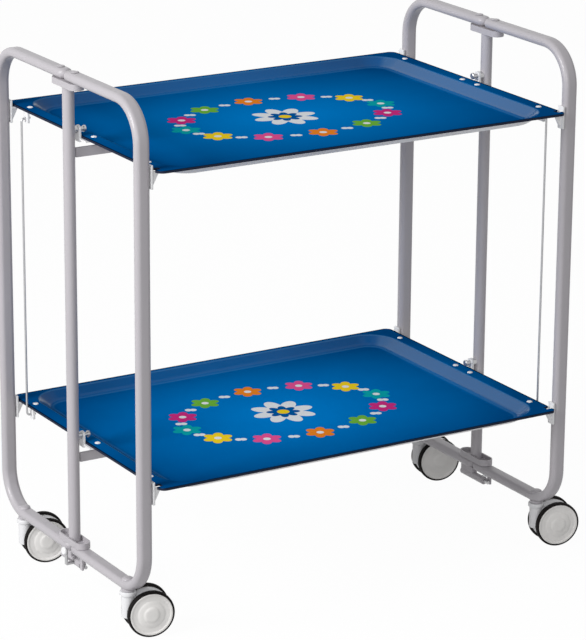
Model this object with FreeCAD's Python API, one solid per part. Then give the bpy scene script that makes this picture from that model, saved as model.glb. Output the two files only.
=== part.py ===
import FreeCAD, Part
import math
import os

# Folding kitchen cart: two looped side frames, each hinged in two halves beside a centre post,
# two trays that tip about the posts, link wires between the trays and four twin-wheel casters.
# Millimetres, +Z up, -Y is the front, the long side runs along X, the floor is at z = 0.

os.makedirs("parts", exist_ok=True)

# Side frames
FRAME_X = 325.0
LEG_Y = 197.0
TOP_RAIL_Z = 722.0
TUBE_WIDTH = 21.0
TUBE_DEPTH = 13.0
TUBE_WALL = 1.5
CORNER_RADIUS = 52.0
SEAM_GAP = 0.5

# Centre posts and their hinge brackets
POST_DIAMETER = 16.0
POST_WALL = 1.5
HINGE_Y = 20.0
BRACKET_PAST_HINGE = 13.0
BRACKET_THICK = 2.5
BRACKET_SKIRT = 6.0
SKIRT_THICK = 2.0
BRACKET_GAP = 0.3
HINGE_PIN_RADIUS = 4.0
PIN_HEAD_RADIUS = 5.5
PIN_HEAD_THICK = 1.0
PIN_TAIL_RADIUS = 5.5
RUNNING_FIT = 0.05

# Trays
TRAY_SIDE_GAP = 5.0
TRAY_PAST_LEG = 18.0
UPPER_RIM_Z = 640.0
LOWER_RIM_Z = 221.0
TRAY_THICK = 3.0
TRAY_CORNER_RADIUS = 10.0
SHORT_RIM = 20.0
LONG_RIM = 6.0
DISH_DEPTH = 13.0
DISH_SLOPE = 18.0
DISH_CORNER_RADIUS = 45.0
SHELL_OFFSET = 1.1
PIVOT_ABOVE_RIM = 8.0
SLOT_LEAD = 4.5
SLOT_CLEARANCE = 0.8

# Tray carrier, ears and lugs
EAR_GAP = 0.4
EAR_THICK = 3.0
EAR_HALF_WIDTH = 6.0
EAR_BELOW_RIM = 8.0
EAR_FOOT_HALF_LENGTH = 24.0
EAR_FOOT_DEPTH = 12.0
FOOT_THICK = 2.0
CARRIER_END_GAP = 1.5
CARRIER_THICK = 4.0
CARRIER_HEIGHT = 13.0
LUG_INSET = 7.5
LUG_THICK = 3.0
LUG_HALF_WIDTH = 6.0
LUG_DROP = 20.0
LUG_FOOT_DEPTH = 14.0
RIVET_RADIUS = 4.0
RIVET_HEIGHT = 1.4
RIVET_INSET = 11.5
RIVET_Y_SHARES = (0.085, 0.77)

# Tray pivot pins
TRAY_PIN_RADIUS = 3.0
TRAY_PIN_HEAD_RADIUS = 4.5
TRAY_PIN_HEAD_THICK = 3.0
TRAY_PIN_REACH = 6.0
SHOULDER_RADIUS = 5.0
SIDE_PLAY = 0.4

# Link wires
WIRE_GAP = 0.3
WIRE_DIAMETER = 3.0
WIRE_BEND_RADIUS = 4.5
WIRE_PAST_LUG = 3.5
WIRE_BELOW_RIM = 14.0

# Tray clips on the legs
CLIP_HALF_WIDTH = 6.0
CLIP_PLATE = 3.0
CLIP_ABOVE_RIM = 6.0
CLIP_BELOW_RIM = 25.0
CLIP_SHELF_THICK = 2.5
CLIP_REACH = 10.0
CLIP_RIB_THICK = 4.0
SHELF_GAP = 0.3

# Latches
GUIDE_RADIUS = 5.5
GUIDE_GAP = 7.0
GUIDE_FRONT_Y = -22.0
GUIDE_REAR_Y = 32.0
GUIDE_BLOCK_HALF_WIDTH = 4.0
GUIDE_BLOCK_FRONT_Y = 3.0
BOLT_RADIUS = 2.5
BOLT_PAST_GUIDE = 10.0
BOLT_REAR_Y = 18.0
BOLT_TRAVEL = 12.0
ARM_FRONT_Y = -9.0
ARM_LENGTH = 6.0
ARM_THICK = 2.6
ARM_OUT = 17.0
ARM_UPRIGHT = 2.0
SLOT_PLAY = 0.4
KNOB_RADIUS = 5.5
KNOB_THICK = 4.5
KNOB_EDGE = 1.5
KEEPER_THICK = 3.0
KEEPER_PLAY = 0.3
KEEPER_LENGTH = 7.0
KEEPER_BELOW = 1.0

# Casters
CASTER_INSET = 46.0
CASTER_TRAIL = 27.0
CASTER_ANGLE = -12.0
WHEEL_RADIUS = 32.0
RAIL_ABOVE_WHEELS = 8.0
WHEEL_INNER_B = 9.5
WHEEL_WIDTH = 9.0
TYRE_THICK = 3.0
TYRE_EDGE = 1.5
STEM_RADIUS = 4.0
STEM_CAP_RADIUS = 8.0
STEM_CAP_HEIGHT = 3.5
STEM_COLLAR_RADIUS = 9.0
STEM_COLLAR_DROP = 2.5
STEM_INSERT = 26.7
HOUSING_TOP_GAP = 0.3
HOUSING_BOSS_RADIUS = 9.0
HOUSING_FLARE_RADIUS = 11.0
HOUSING_FLARE_HEIGHT = 4.7
HOUSING_SIDE_GAP = 1.0
HOUSING_INSET = 2.5
HOUSING_CUT_Z = 17.0
HOUSING_BELOW_AXLE = 6.0
SOCKET_PLAY = 0.3
SPACER_RADIUS = 6.0
WHEEL_PLAY = 0.2
AXLE_RADIUS = 3.0
AXLE_END_PLAY = 0.3
HUB_BACK_INSET = 1.1
HUB_COLLAR_RADIUS = 8.0
HUB_DISH_DEPTH = 0.9
HUB_DOME_RADIUS = 15.0
HUB_DOME_RISE = 2.4
HUB_CAP_THICK = 3.8

# One length that carries every cut past its surface
OVERRUN = 5.0

SIDES = {"left": -1, "right": 1}
ENDS = {"front": -1, "rear": 1}
TRAYS = {"upper": UPPER_RIM_Z, "lower": LOWER_RIM_Z}

# The casters all trail one way, so the cart's box isn't centred on its posts.
ROLL = FreeCAD.Vector(math.cos(math.radians(CASTER_ANGLE)), math.sin(math.radians(CASTER_ANGLE)), 0)
AXLE = FreeCAD.Vector(-ROLL.y, ROLL.x, 0)
WHEEL_OUTER_B = WHEEL_INNER_B + WHEEL_WIDTH
REACH_RIGHT = FRAME_X + (CASTER_TRAIL + WHEEL_RADIUS) * ROLL.x + WHEEL_OUTER_B * AXLE.x
REACH_LEFT = FRAME_X + ARM_OUT + KNOB_THICK
MIDDLE_SHIFT = FreeCAD.Vector(-(REACH_RIGHT - REACH_LEFT) / 2, 0, 0)

INNER_FACE_X = FRAME_X - TUBE_WIDTH / 2
LOW_RAIL_Z = 2 * WHEEL_RADIUS + RAIL_ABOVE_WHEELS
LOW_UNDERSIDE_Z = LOW_RAIL_Z - TUBE_DEPTH / 2
TOP_UNDERSIDE_Z = TOP_RAIL_Z - TUBE_DEPTH / 2
NOSE_Y = SEAM_GAP + TUBE_WIDTH / 2
BRACKET_HALF_LENGTH = HINGE_Y + BRACKET_PAST_HINGE
TRAY_HALF_LENGTH = INNER_FACE_X - TRAY_SIDE_GAP
TRAY_HALF_DEPTH = LEG_Y + TRAY_PAST_LEG
CARRIER_HALF_LENGTH = FRAME_X - POST_DIAMETER / 2 - CARRIER_END_GAP
RIVET_X = TRAY_HALF_LENGTH - RIVET_INSET
LUG_INNER_X = TRAY_HALF_LENGTH - LUG_INSET
WIRE_TIP_X = LUG_INNER_X - WIRE_PAST_LUG
CLIP_FACE_X = INNER_FACE_X - CLIP_PLATE
EAR_INNER_X = TRAY_HALF_LENGTH + EAR_GAP
LUG_Y = RIVET_Y_SHARES[1] * TRAY_HALF_DEPTH
WIRE_X = TRAY_HALF_LENGTH + WIRE_GAP + WIRE_DIAMETER / 2
LOW_PLATE_Z = LOW_RAIL_Z + TUBE_DEPTH / 2 + BRACKET_GAP
TOP_PLATE_Z = TOP_UNDERSIDE_Z - BRACKET_GAP
FLOOR_Z = -DISH_DEPTH - TRAY_THICK
GUIDE_Z = LOW_UNDERSIDE_Z - GUIDE_GAP - GUIDE_RADIUS
BOLT_TIP_Y = GUIDE_FRONT_Y - BOLT_PAST_GUIDE
CASTER_Y = LEG_Y - CASTER_INSET
STEM_COLLAR_Z = LOW_UNDERSIDE_Z - STEM_COLLAR_DROP
HOUSING_TOP_Z = STEM_COLLAR_Z - HOUSING_TOP_GAP
HOUSING_FLARE_Z = HOUSING_TOP_Z - HOUSING_FLARE_HEIGHT
HOUSING_FLOOR_Z = WHEEL_RADIUS - HOUSING_BELOW_AXLE
HOUSING_RADIUS = WHEEL_RADIUS - HOUSING_INSET
HOUSING_HALF_WIDTH = WHEEL_INNER_B - HOUSING_SIDE_GAP
STEM_END_Z = HOUSING_TOP_Z - STEM_INSERT
HUB_BORE_END = WHEEL_OUTER_B + HUB_DOME_RISE - HUB_CAP_THICK
AXLE_HALF_LENGTH = HUB_BORE_END - AXLE_END_PLAY

written = []


def vec(x, y, z):
    return FreeCAD.Vector(x, y, z)


def span_box(x, y, z):
    """A box between two values on each axis, given in either order."""
    low = vec(min(x), min(y), min(z))
    return Part.makeBox(abs(x[1] - x[0]), abs(y[1] - y[0]), abs(z[1] - z[0]), low)


def rod(radius, start, end):
    """A round bar between two points."""
    along = end - start
    return Part.makeCylinder(radius, along.Length, start, along)


def fuse(solids):
    """Solids that touch or meet, as one."""
    whole = solids[0]
    for solid in solids[1:]:
        whole = whole.fuse(solid)
    return whole.removeSplitter()


def save(node, solids):
    """Writes one node, moved so that the cart's box is centred on the origin."""
    shape = Part.makeCompound(solids) if len(solids) > 1 else solids[0]
    shape = shape.copy()
    shape.translate(MIDDLE_SHIFT)
    if not shape.isValid():
        print("not valid", node)
    shape.exportStep("parts/" + node + ".step")
    written.append((node, len(shape.Solids), round(shape.Volume)))


def stadium(side, y, z, width, depth):
    """A closed flat-oval wire across the tube, its long way along X, standing in a plane of constant y."""
    half = (width - depth) / 2
    radius = depth / 2
    x = side * FRAME_X
    low_left = vec(x - half, y, z - radius)
    low_right = vec(x + half, y, z - radius)
    top_left = vec(x - half, y, z + radius)
    top_right = vec(x + half, y, z + radius)
    edges = [
        Part.LineSegment(low_left, low_right).toShape(),
        Part.Arc(low_right, vec(x + half + radius, y, z), top_right).toShape(),
        Part.LineSegment(top_right, top_left).toShape(),
        Part.Arc(top_left, vec(x - half - radius, y, z), low_left).toShape(),
    ]
    return Part.Wire(edges)


def half_loop_path(side, end, start_y):
    """The centre line of one half of a side frame: top rail, leg and bottom rail, with round corners."""
    x = side * FRAME_X
    radius = CORNER_RADIUS
    chord = radius * (1 - math.cos(math.radians(45)))
    leg = end * LEG_Y
    bend = end * (LEG_Y - radius)
    top_start = vec(x, end * start_y, TOP_RAIL_Z)
    top_bend = vec(x, bend, TOP_RAIL_Z)
    top_middle = vec(x, leg - end * chord, TOP_RAIL_Z - chord)
    leg_top = vec(x, leg, TOP_RAIL_Z - radius)
    leg_low = vec(x, leg, LOW_RAIL_Z + radius)
    low_middle = vec(x, leg - end * chord, LOW_RAIL_Z + chord)
    low_bend = vec(x, bend, LOW_RAIL_Z)
    low_end = vec(x, end * start_y, LOW_RAIL_Z)
    edges = [
        Part.LineSegment(top_start, top_bend).toShape(),
        Part.Arc(top_bend, top_middle, leg_top).toShape(),
        Part.LineSegment(leg_top, leg_low).toShape(),
        Part.Arc(leg_low, low_middle, low_bend).toShape(),
        Part.LineSegment(low_bend, low_end).toShape(),
    ]
    return Part.Wire(edges)


def half_loop_solid(side, end, inset):
    """The tube's outside, or its bore where inset is the wall."""
    start = stadium(side, end * NOSE_Y, TOP_RAIL_Z, TUBE_WIDTH - 2 * inset, TUBE_DEPTH - 2 * inset)
    return half_loop_path(side, end, NOSE_Y).makePipeShell([start], True, False)


def tube_nose(side, end, z):
    """The rounded end that closes a rail beside the centre seam."""
    x = side * FRAME_X
    y = end * NOSE_Y
    half = (TUBE_WIDTH - TUBE_DEPTH) / 2
    radius = TUBE_DEPTH / 2
    low = vec(x, y, z - radius)
    low_outer = vec(x + half, y, z - radius)
    widest = vec(x + half + radius, y, z)
    top_outer = vec(x + half, y, z + radius)
    top = vec(x, y, z + radius)
    edges = [
        Part.LineSegment(low, low_outer).toShape(),
        Part.Arc(low_outer, widest, top_outer).toShape(),
        Part.LineSegment(top_outer, top).toShape(),
        Part.LineSegment(top, low).toShape(),
    ]
    return Part.Face(Part.Wire(edges)).revolve(vec(x, y, z), vec(0, 0, 1), 360)


def latch_keeper(side):
    """The tab under a front half that the bolt lies against."""
    inner = FRAME_X + BOLT_RADIUS + KEEPER_PLAY
    x = (side * inner, side * (inner + KEEPER_THICK))
    y = (BOLT_TIP_Y, BOLT_TIP_Y + KEEPER_LENGTH)
    return span_box(x, y, (GUIDE_Z - BOLT_RADIUS - KEEPER_BELOW, LOW_UNDERSIDE_Z))


def make_half_frame(side_name, end_name):
    side = SIDES[side_name]
    end = ENDS[end_name]
    tube = half_loop_solid(side, end, 0).cut(half_loop_solid(side, end, TUBE_WALL))
    tube = fuse([tube, tube_nose(side, end, TOP_RAIL_Z), tube_nose(side, end, LOW_RAIL_Z)])
    for y, radius in ((end * HINGE_Y, HINGE_PIN_RADIUS), (end * CASTER_Y, STEM_RADIUS)):
        low = vec(side * FRAME_X, y, LOW_UNDERSIDE_Z - OVERRUN)
        tube = tube.cut(rod(radius, low, low + vec(0, 0, TUBE_DEPTH + 3 * OVERRUN)))
    top = vec(side * FRAME_X, end * HINGE_Y, TOP_UNDERSIDE_Z - OVERRUN)
    tube = tube.cut(rod(HINGE_PIN_RADIUS, top, top + vec(0, 0, TUBE_DEPTH + 2 * OVERRUN)))
    solids = [tube]
    if end < 0:
        solids.append(latch_keeper(side))
    save(end_name + "_" + side_name + "_frame", solids)


def make_tray_clips(side_name, end_name):
    """Two clips on a leg's inner face: a plate, a tapering rib and a shelf that is wider at the rear."""
    side = SIDES[side_name]
    end = ENDS[end_name]
    plate = CLIP_FACE_X
    reach = plate - CLIP_REACH
    y = (end * LEG_Y - CLIP_HALF_WIDTH, end * LEG_Y + CLIP_HALF_WIDTH)
    rib_y = end * LEG_Y - CLIP_RIB_THICK / 2
    clips = []
    for rim in TRAYS.values():
        shelf_top = rim - TRAY_THICK - SHELF_GAP
        shelf_low = shelf_top - CLIP_SHELF_THICK
        foot = rim - CLIP_BELOW_RIM
        back = span_box((side * INNER_FACE_X, side * plate), y, (foot, rim + CLIP_ABOVE_RIM))
        shelf_y = y if end > 0 else (rib_y, rib_y + CLIP_RIB_THICK)
        shelf = span_box((side * plate, side * reach), shelf_y, (shelf_low, shelf_top))
        outline = [
            vec(side * plate, rib_y, shelf_low),
            vec(side * reach, rib_y, shelf_low),
            vec(side * plate, rib_y, foot),
            vec(side * plate, rib_y, shelf_low),
        ]
        rib = Part.Face(Part.makePolygon(outline)).extrude(vec(0, CLIP_RIB_THICK, 0))
        clips.append(fuse([back, shelf, rib]))
    save(end_name + "_" + side_name + "_tray_clips", clips)


def make_caster_stem(side_name, end_name):
    """The stem through a bottom rail, with its cap above and its collar below."""
    side = SIDES[side_name]
    end = ENDS[end_name]
    foot = vec(side * FRAME_X, end * CASTER_Y, 0)
    rail_top = LOW_RAIL_Z + TUBE_DEPTH / 2
    pin = rod(STEM_RADIUS, foot + vec(0, 0, STEM_END_Z), foot + vec(0, 0, rail_top + STEM_CAP_HEIGHT / 2))
    cap = Part.makeCone(
        STEM_CAP_RADIUS, STEM_CAP_RADIUS / 2, STEM_CAP_HEIGHT, foot + vec(0, 0, rail_top), vec(0, 0, 1)
    )
    skirt = rod(STEM_CAP_RADIUS, foot + vec(0, 0, LOW_RAIL_Z), foot + vec(0, 0, rail_top))
    collar = rod(STEM_COLLAR_RADIUS, foot + vec(0, 0, STEM_COLLAR_Z), foot + vec(0, 0, LOW_RAIL_Z))
    dressed = fuse([cap, skirt, collar]).cut(half_loop_solid(side, end, 0))
    save(end_name + "_" + side_name + "_caster_stem", [fuse([pin, dressed])])


def make_post(side_name):
    x = SIDES[side_name] * FRAME_X
    low = vec(x, 0, LOW_PLATE_Z + BRACKET_THICK)
    top = vec(x, 0, TOP_PLATE_Z - BRACKET_THICK)
    post = rod(POST_DIAMETER / 2, low, top).cut(rod(POST_DIAMETER / 2 - POST_WALL, low, top))
    for rim in TRAYS.values():
        axis = rim + PIVOT_ABOVE_RIM
        post = post.cut(rod(TRAY_PIN_RADIUS, vec(0, 0, axis), vec(x, 0, axis)))
    save(side_name + "_post", [post])


def bracket(side, plate_z, up):
    """A shallow channel that carries the post's end and both hinge pins of one rail pair."""
    x = side * FRAME_X
    half = TUBE_WIDTH / 2
    straight = BRACKET_HALF_LENGTH - half
    thick = up * BRACKET_THICK
    height = up * (BRACKET_THICK + BRACKET_SKIRT)

    def slab(radius, reach):
        ends = [rod(radius, vec(x, y, plate_z), vec(x, y, plate_z + reach)) for y in (-straight, straight)]
        middle = span_box((x - radius, x + radius), (-straight, straight), (plate_z, plate_z + reach))
        return fuse([middle] + ends)

    channel = slab(half, height).cut(slab(half - SKIRT_THICK, height + up * OVERRUN))
    channel = fuse([channel, slab(half, thick)])
    through = vec(0, 0, up * (2 * OVERRUN + BRACKET_THICK))
    for y in (-HINGE_Y, HINGE_Y):
        start = vec(x, y, plate_z - up * OVERRUN)
        channel = channel.cut(rod(HINGE_PIN_RADIUS, start, start + through))
    return channel


def make_brackets(side_name):
    side = SIDES[side_name]
    save(side_name + "_hinge_brackets", [bracket(side, LOW_PLATE_Z, 1), bracket(side, TOP_PLATE_Z, -1)])


def make_hinge_pins():
    """Eight upright pins: each passes a bracket plate and a rail, with a head on the far side."""
    pins = []
    shaft = HINGE_PIN_RADIUS - RUNNING_FIT
    for side in SIDES.values():
        for end in ENDS.values():
            at = vec(side * FRAME_X, end * HINGE_Y, 0)
            head_z = TOP_RAIL_Z + TUBE_DEPTH / 2 + BRACKET_GAP
            tail_z = TOP_PLATE_Z - BRACKET_THICK
            top_pin = fuse([
                rod(shaft, at + vec(0, 0, tail_z), at + vec(0, 0, head_z)),
                rod(PIN_HEAD_RADIUS, at + vec(0, 0, head_z), at + vec(0, 0, head_z + PIN_HEAD_THICK)),
                rod(PIN_TAIL_RADIUS, at + vec(0, 0, tail_z - PIN_HEAD_THICK), at + vec(0, 0, tail_z)),
            ])
            low_head = LOW_PLATE_Z + BRACKET_THICK
            low_pin = fuse([
                rod(shaft, at + vec(0, 0, LOW_UNDERSIDE_Z + RUNNING_FIT), at + vec(0, 0, low_head)),
                rod(PIN_HEAD_RADIUS, at + vec(0, 0, low_head), at + vec(0, 0, low_head + PIN_HEAD_THICK)),
            ])
            pins += [top_pin, low_pin]
    save("hinge_pins", pins)


def make_tray_pins():
    """Four level pins that carry the trays: head inside the ear, shoulder outside it, tail in the post."""
    pins = []
    shaft = TRAY_PIN_RADIUS - RUNNING_FIT
    for side in SIDES.values():
        post = rod(POST_DIAMETER / 2, vec(side * FRAME_X, 0, 0), vec(side * FRAME_X, 0, TOP_RAIL_Z))
        for rim in TRAYS.values():
            z = rim + PIVOT_ABOVE_RIM
            head = vec(side * (EAR_INNER_X - TRAY_PIN_REACH), 0, z)
            head_end = head - vec(side * TRAY_PIN_HEAD_THICK, 0, 0)
            shoulder = vec(side * (EAR_INNER_X + EAR_THICK + SIDE_PLAY), 0, z)
            tail_end = vec(side * FRAME_X, 0, z)
            body = fuse([
                rod(TRAY_PIN_HEAD_RADIUS, head_end, head),
                rod(shaft, head, shoulder),
                rod(SHOULDER_RADIUS, shoulder, tail_end).cut(post),
            ])
            pins.append(fuse([body, rod(shaft, shoulder, tail_end)]))
    save("tray_pivot_pins", pins)


def rounded_rectangle(half_x, half_y, radius, z):
    """A closed wire of four lines and four arcs."""
    inset = radius * (1 - math.sqrt(0.5))
    a = half_x - radius
    b = half_y - radius
    edges = []
    for sx, sy in ((1, -1), (1, 1), (-1, 1), (-1, -1)):
        first = vec(sx * half_x, sy * b, z)
        second = vec(sx * a, sy * half_y, z)
        middle = vec(sx * (half_x - inset), sy * (half_y - inset), z)
        if sx * sy < 0:
            first, second = second, first
        edges.append((first, middle, second))
    shapes = []
    for index, (first, middle, second) in enumerate(edges):
        shapes.append(Part.Arc(first, middle, second).toShape())
        following = edges[(index + 1) % 4][0]
        shapes.append(Part.LineSegment(second, following).toShape())
    return Part.Wire(shapes)


def dish(top_z, low_z, grow):
    """The tray's hollow, from its mouth to its floor, grown sideways by a little for the outside."""
    mouth_x = TRAY_HALF_LENGTH - SHORT_RIM + grow
    mouth_y = TRAY_HALF_DEPTH - LONG_RIM + grow
    floor_radius = DISH_CORNER_RADIUS - DISH_SLOPE + grow
    mouth = rounded_rectangle(mouth_x, mouth_y, DISH_CORNER_RADIUS + grow, top_z)
    floor = rounded_rectangle(mouth_x - DISH_SLOPE, mouth_y - DISH_SLOPE, floor_radius, low_z)
    return Part.makeLoft([mouth, floor], True, True)


def make_tray(name):
    """A dished sheet, with a slot at each front corner that lets the rim drop past a clip's rib."""
    rim = TRAYS[name]
    plate = Part.Face(rounded_rectangle(TRAY_HALF_LENGTH, TRAY_HALF_DEPTH, TRAY_CORNER_RADIUS, rim))
    plate = plate.extrude(vec(0, 0, -TRAY_THICK))
    outside = dish(rim - TRAY_THICK, rim + FLOOR_Z, SHELL_OFFSET)
    tray = plate.fuse(outside).cut(dish(rim, rim - DISH_DEPTH, 0)).removeSplitter()
    z = (rim - TRAY_THICK - OVERRUN, rim + OVERRUN)
    slot_inner = CLIP_FACE_X - CLIP_REACH - SLOT_CLEARANCE
    slot_front = -LEG_Y - CLIP_RIB_THICK / 2 - SLOT_LEAD
    slot_rear = -LEG_Y + CLIP_RIB_THICK / 2 + SLOT_CLEARANCE
    for side in SIDES.values():
        x = (side * slot_inner, side * (TRAY_HALF_LENGTH + OVERRUN))
        tray = tray.cut(span_box(x, (slot_front, slot_rear), z))
    save(name + "_tray", [tray])


def make_tray_carrier(name):
    """The flat bar under a tray, from post to post."""
    top = TRAYS[name] + FLOOR_Z
    half = CARRIER_THICK / 2
    x = (-CARRIER_HALF_LENGTH, CARRIER_HALF_LENGTH)
    save(name + "_tray_carrier", [span_box(x, (-half, half), (top - CARRIER_HEIGHT, top))])


def tray_ear(side, rim):
    """An upright plate with a round top that hangs on a pivot pin, and feet under the rim."""
    axis = rim + PIVOT_ABOVE_RIM
    x = (side * EAR_INNER_X, side * (EAR_INNER_X + EAR_THICK))
    upright = span_box(x, (-EAR_HALF_WIDTH, EAR_HALF_WIDTH), (rim - EAR_BELOW_RIM, axis))
    crown = rod(EAR_HALF_WIDTH, vec(x[0], 0, axis), vec(x[1], 0, axis))
    foot_x = (x[1], side * (EAR_INNER_X + EAR_THICK - EAR_FOOT_DEPTH))
    foot_y = (-EAR_FOOT_HALF_LENGTH, EAR_FOOT_HALF_LENGTH)
    foot = span_box(foot_x, foot_y, (rim - TRAY_THICK - FOOT_THICK, rim - TRAY_THICK))
    hole = rod(TRAY_PIN_RADIUS, vec(side * (EAR_INNER_X - OVERRUN), 0, axis), vec(side * FRAME_X, 0, axis))
    return fuse([upright, crown, foot]).cut(hole)


def wire_lug(side, rim):
    """An angle under a tray's corner: the foot lies against the rim and the plate takes the wire's end."""
    end = -side
    y = (end * LUG_Y - LUG_HALF_WIDTH, end * LUG_Y + LUG_HALF_WIDTH)
    under = rim - TRAY_THICK
    plate = span_box((side * LUG_INNER_X, side * (LUG_INNER_X + LUG_THICK)), y, (rim - LUG_DROP, under))
    foot_x = (side * (LUG_INNER_X + LUG_THICK), side * (LUG_INNER_X + LUG_THICK - LUG_FOOT_DEPTH))
    foot = span_box(foot_x, y, (under - FOOT_THICK, under))
    z = rim - WIRE_BELOW_RIM
    start = vec(side * (LUG_INNER_X - OVERRUN), end * LUG_Y, z)
    hole = rod(WIRE_DIAMETER / 2 + RUNNING_FIT, start, vec(side * FRAME_X, end * LUG_Y, z))
    return fuse([plate, foot]).cut(hole)


def make_tray_brackets(name):
    rim = TRAYS[name]
    solids = [tray_ear(side, rim) for side in SIDES.values()]
    solids += [wire_lug(side, rim) for side in SIDES.values()]
    save(name + "_tray_brackets", solids)


def make_rivets(name):
    """Low round heads along both short rims."""
    rim = TRAYS[name]
    heads = []
    for side in SIDES.values():
        for share in RIVET_Y_SHARES:
            for end in ENDS.values():
                at = vec(side * RIVET_X, end * share * TRAY_HALF_DEPTH, rim)
                heads.append(Part.makeCone(RIVET_RADIUS, RIVET_RADIUS / 2, RIVET_HEIGHT, at, vec(0, 0, 1)))
    save(name + "_tray_rivets", heads)


def make_link_wire(side_name):
    """A round wire that stands beside both trays, its two ends bent in through the lugs."""
    side = SIDES[side_name]
    y = -side * LUG_Y
    top_z = UPPER_RIM_Z - WIRE_BELOW_RIM
    low_z = LOWER_RIM_Z - WIRE_BELOW_RIM
    x = side * WIRE_X
    bend = side * WIRE_BEND_RADIUS
    chord = WIRE_BEND_RADIUS * (1 - math.cos(math.radians(45)))
    tip_top = vec(side * WIRE_TIP_X, y, top_z)
    tip_low = vec(side * WIRE_TIP_X, y, low_z)
    points = [
        vec(x - bend, y, top_z),
        vec(x - side * chord, y, top_z - chord),
        vec(x, y, top_z - WIRE_BEND_RADIUS),
        vec(x, y, low_z + WIRE_BEND_RADIUS),
        vec(x - side * chord, y, low_z + chord),
        vec(x - bend, y, low_z),
    ]
    edges = [
        Part.LineSegment(tip_top, points[0]).toShape(),
        Part.Arc(points[0], points[1], points[2]).toShape(),
        Part.LineSegment(points[2], points[3]).toShape(),
        Part.Arc(points[3], points[4], points[5]).toShape(),
        Part.LineSegment(points[5], tip_low).toShape(),
    ]
    section = Part.Wire([Part.makeCircle(WIRE_DIAMETER / 2, tip_top, vec(1, 0, 0))])
    wire = Part.Wire(edges).makePipeShell([section], True, False)
    save(side_name + "_link_wire", [wire])


def make_latch_guide(side_name):
    """The sleeve under a rear half's bottom rail that holds the bolt."""
    side = SIDES[side_name]
    x = side * FRAME_X
    sleeve = rod(GUIDE_RADIUS, vec(x, GUIDE_FRONT_Y, GUIDE_Z), vec(x, GUIDE_REAR_Y, GUIDE_Z))
    block = span_box(
        (x - GUIDE_BLOCK_HALF_WIDTH, x + GUIDE_BLOCK_HALF_WIDTH),
        (GUIDE_BLOCK_FRONT_Y, GUIDE_REAR_Y),
        (GUIDE_Z, LOW_UNDERSIDE_Z),
    )
    bore = rod(BOLT_RADIUS + RUNNING_FIT, vec(x, GUIDE_FRONT_Y, GUIDE_Z), vec(x, GUIDE_REAR_Y, GUIDE_Z))
    half = ARM_THICK / 2 + SLOT_PLAY
    slot = span_box(
        (x, x + side * (GUIDE_RADIUS + OVERRUN)),
        (ARM_FRONT_Y - SLOT_PLAY, ARM_FRONT_Y + ARM_LENGTH + BOLT_TRAVEL + SLOT_PLAY),
        (GUIDE_Z - half, GUIDE_Z + half),
    )
    save(side_name + "_latch_guide", [fuse([sleeve, block]).cut(bore).cut(slot)])


def make_latch_bolt(side_name):
    """The bolt, and the flat arm that leaves the sleeve through its slot and turns up to the knob."""
    side = SIDES[side_name]
    x = side * FRAME_X
    bolt = rod(BOLT_RADIUS, vec(x, BOLT_TIP_Y, GUIDE_Z), vec(x, BOLT_REAR_Y, GUIDE_Z))
    y = (ARM_FRONT_Y, ARM_FRONT_Y + ARM_LENGTH)
    low = GUIDE_Z - ARM_THICK / 2
    arm = span_box((x, x + side * ARM_OUT), y, (low, low + ARM_THICK))
    upright_x = (x + side * (ARM_OUT - ARM_UPRIGHT), x + side * ARM_OUT)
    upright = span_box(upright_x, y, (low, LOW_RAIL_Z + KNOB_RADIUS / 2))
    save(side_name + "_latch_bolt", [fuse([bolt, arm, upright])])


def make_latch_knob(side_name):
    side = SIDES[side_name]
    y = ARM_FRONT_Y + ARM_LENGTH / 2
    start = vec(side * (FRAME_X + ARM_OUT), y, LOW_RAIL_Z)
    knob = rod(KNOB_RADIUS, start, start + vec(side * KNOB_THICK, 0, 0))
    outermost = max(knob.Edges, key=lambda edge: abs(edge.BoundBox.Center.x))
    save(side_name + "_latch_knob", [knob.makeFillet(KNOB_EDGE, [outermost])])


def caster_point(side, end, along, across, z):
    """A place on a caster: along its rolling direction from the stem, and across it along the axle."""
    stem = vec(side * FRAME_X, end * CASTER_Y, z)
    return stem + ROLL * along + AXLE * across


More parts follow.
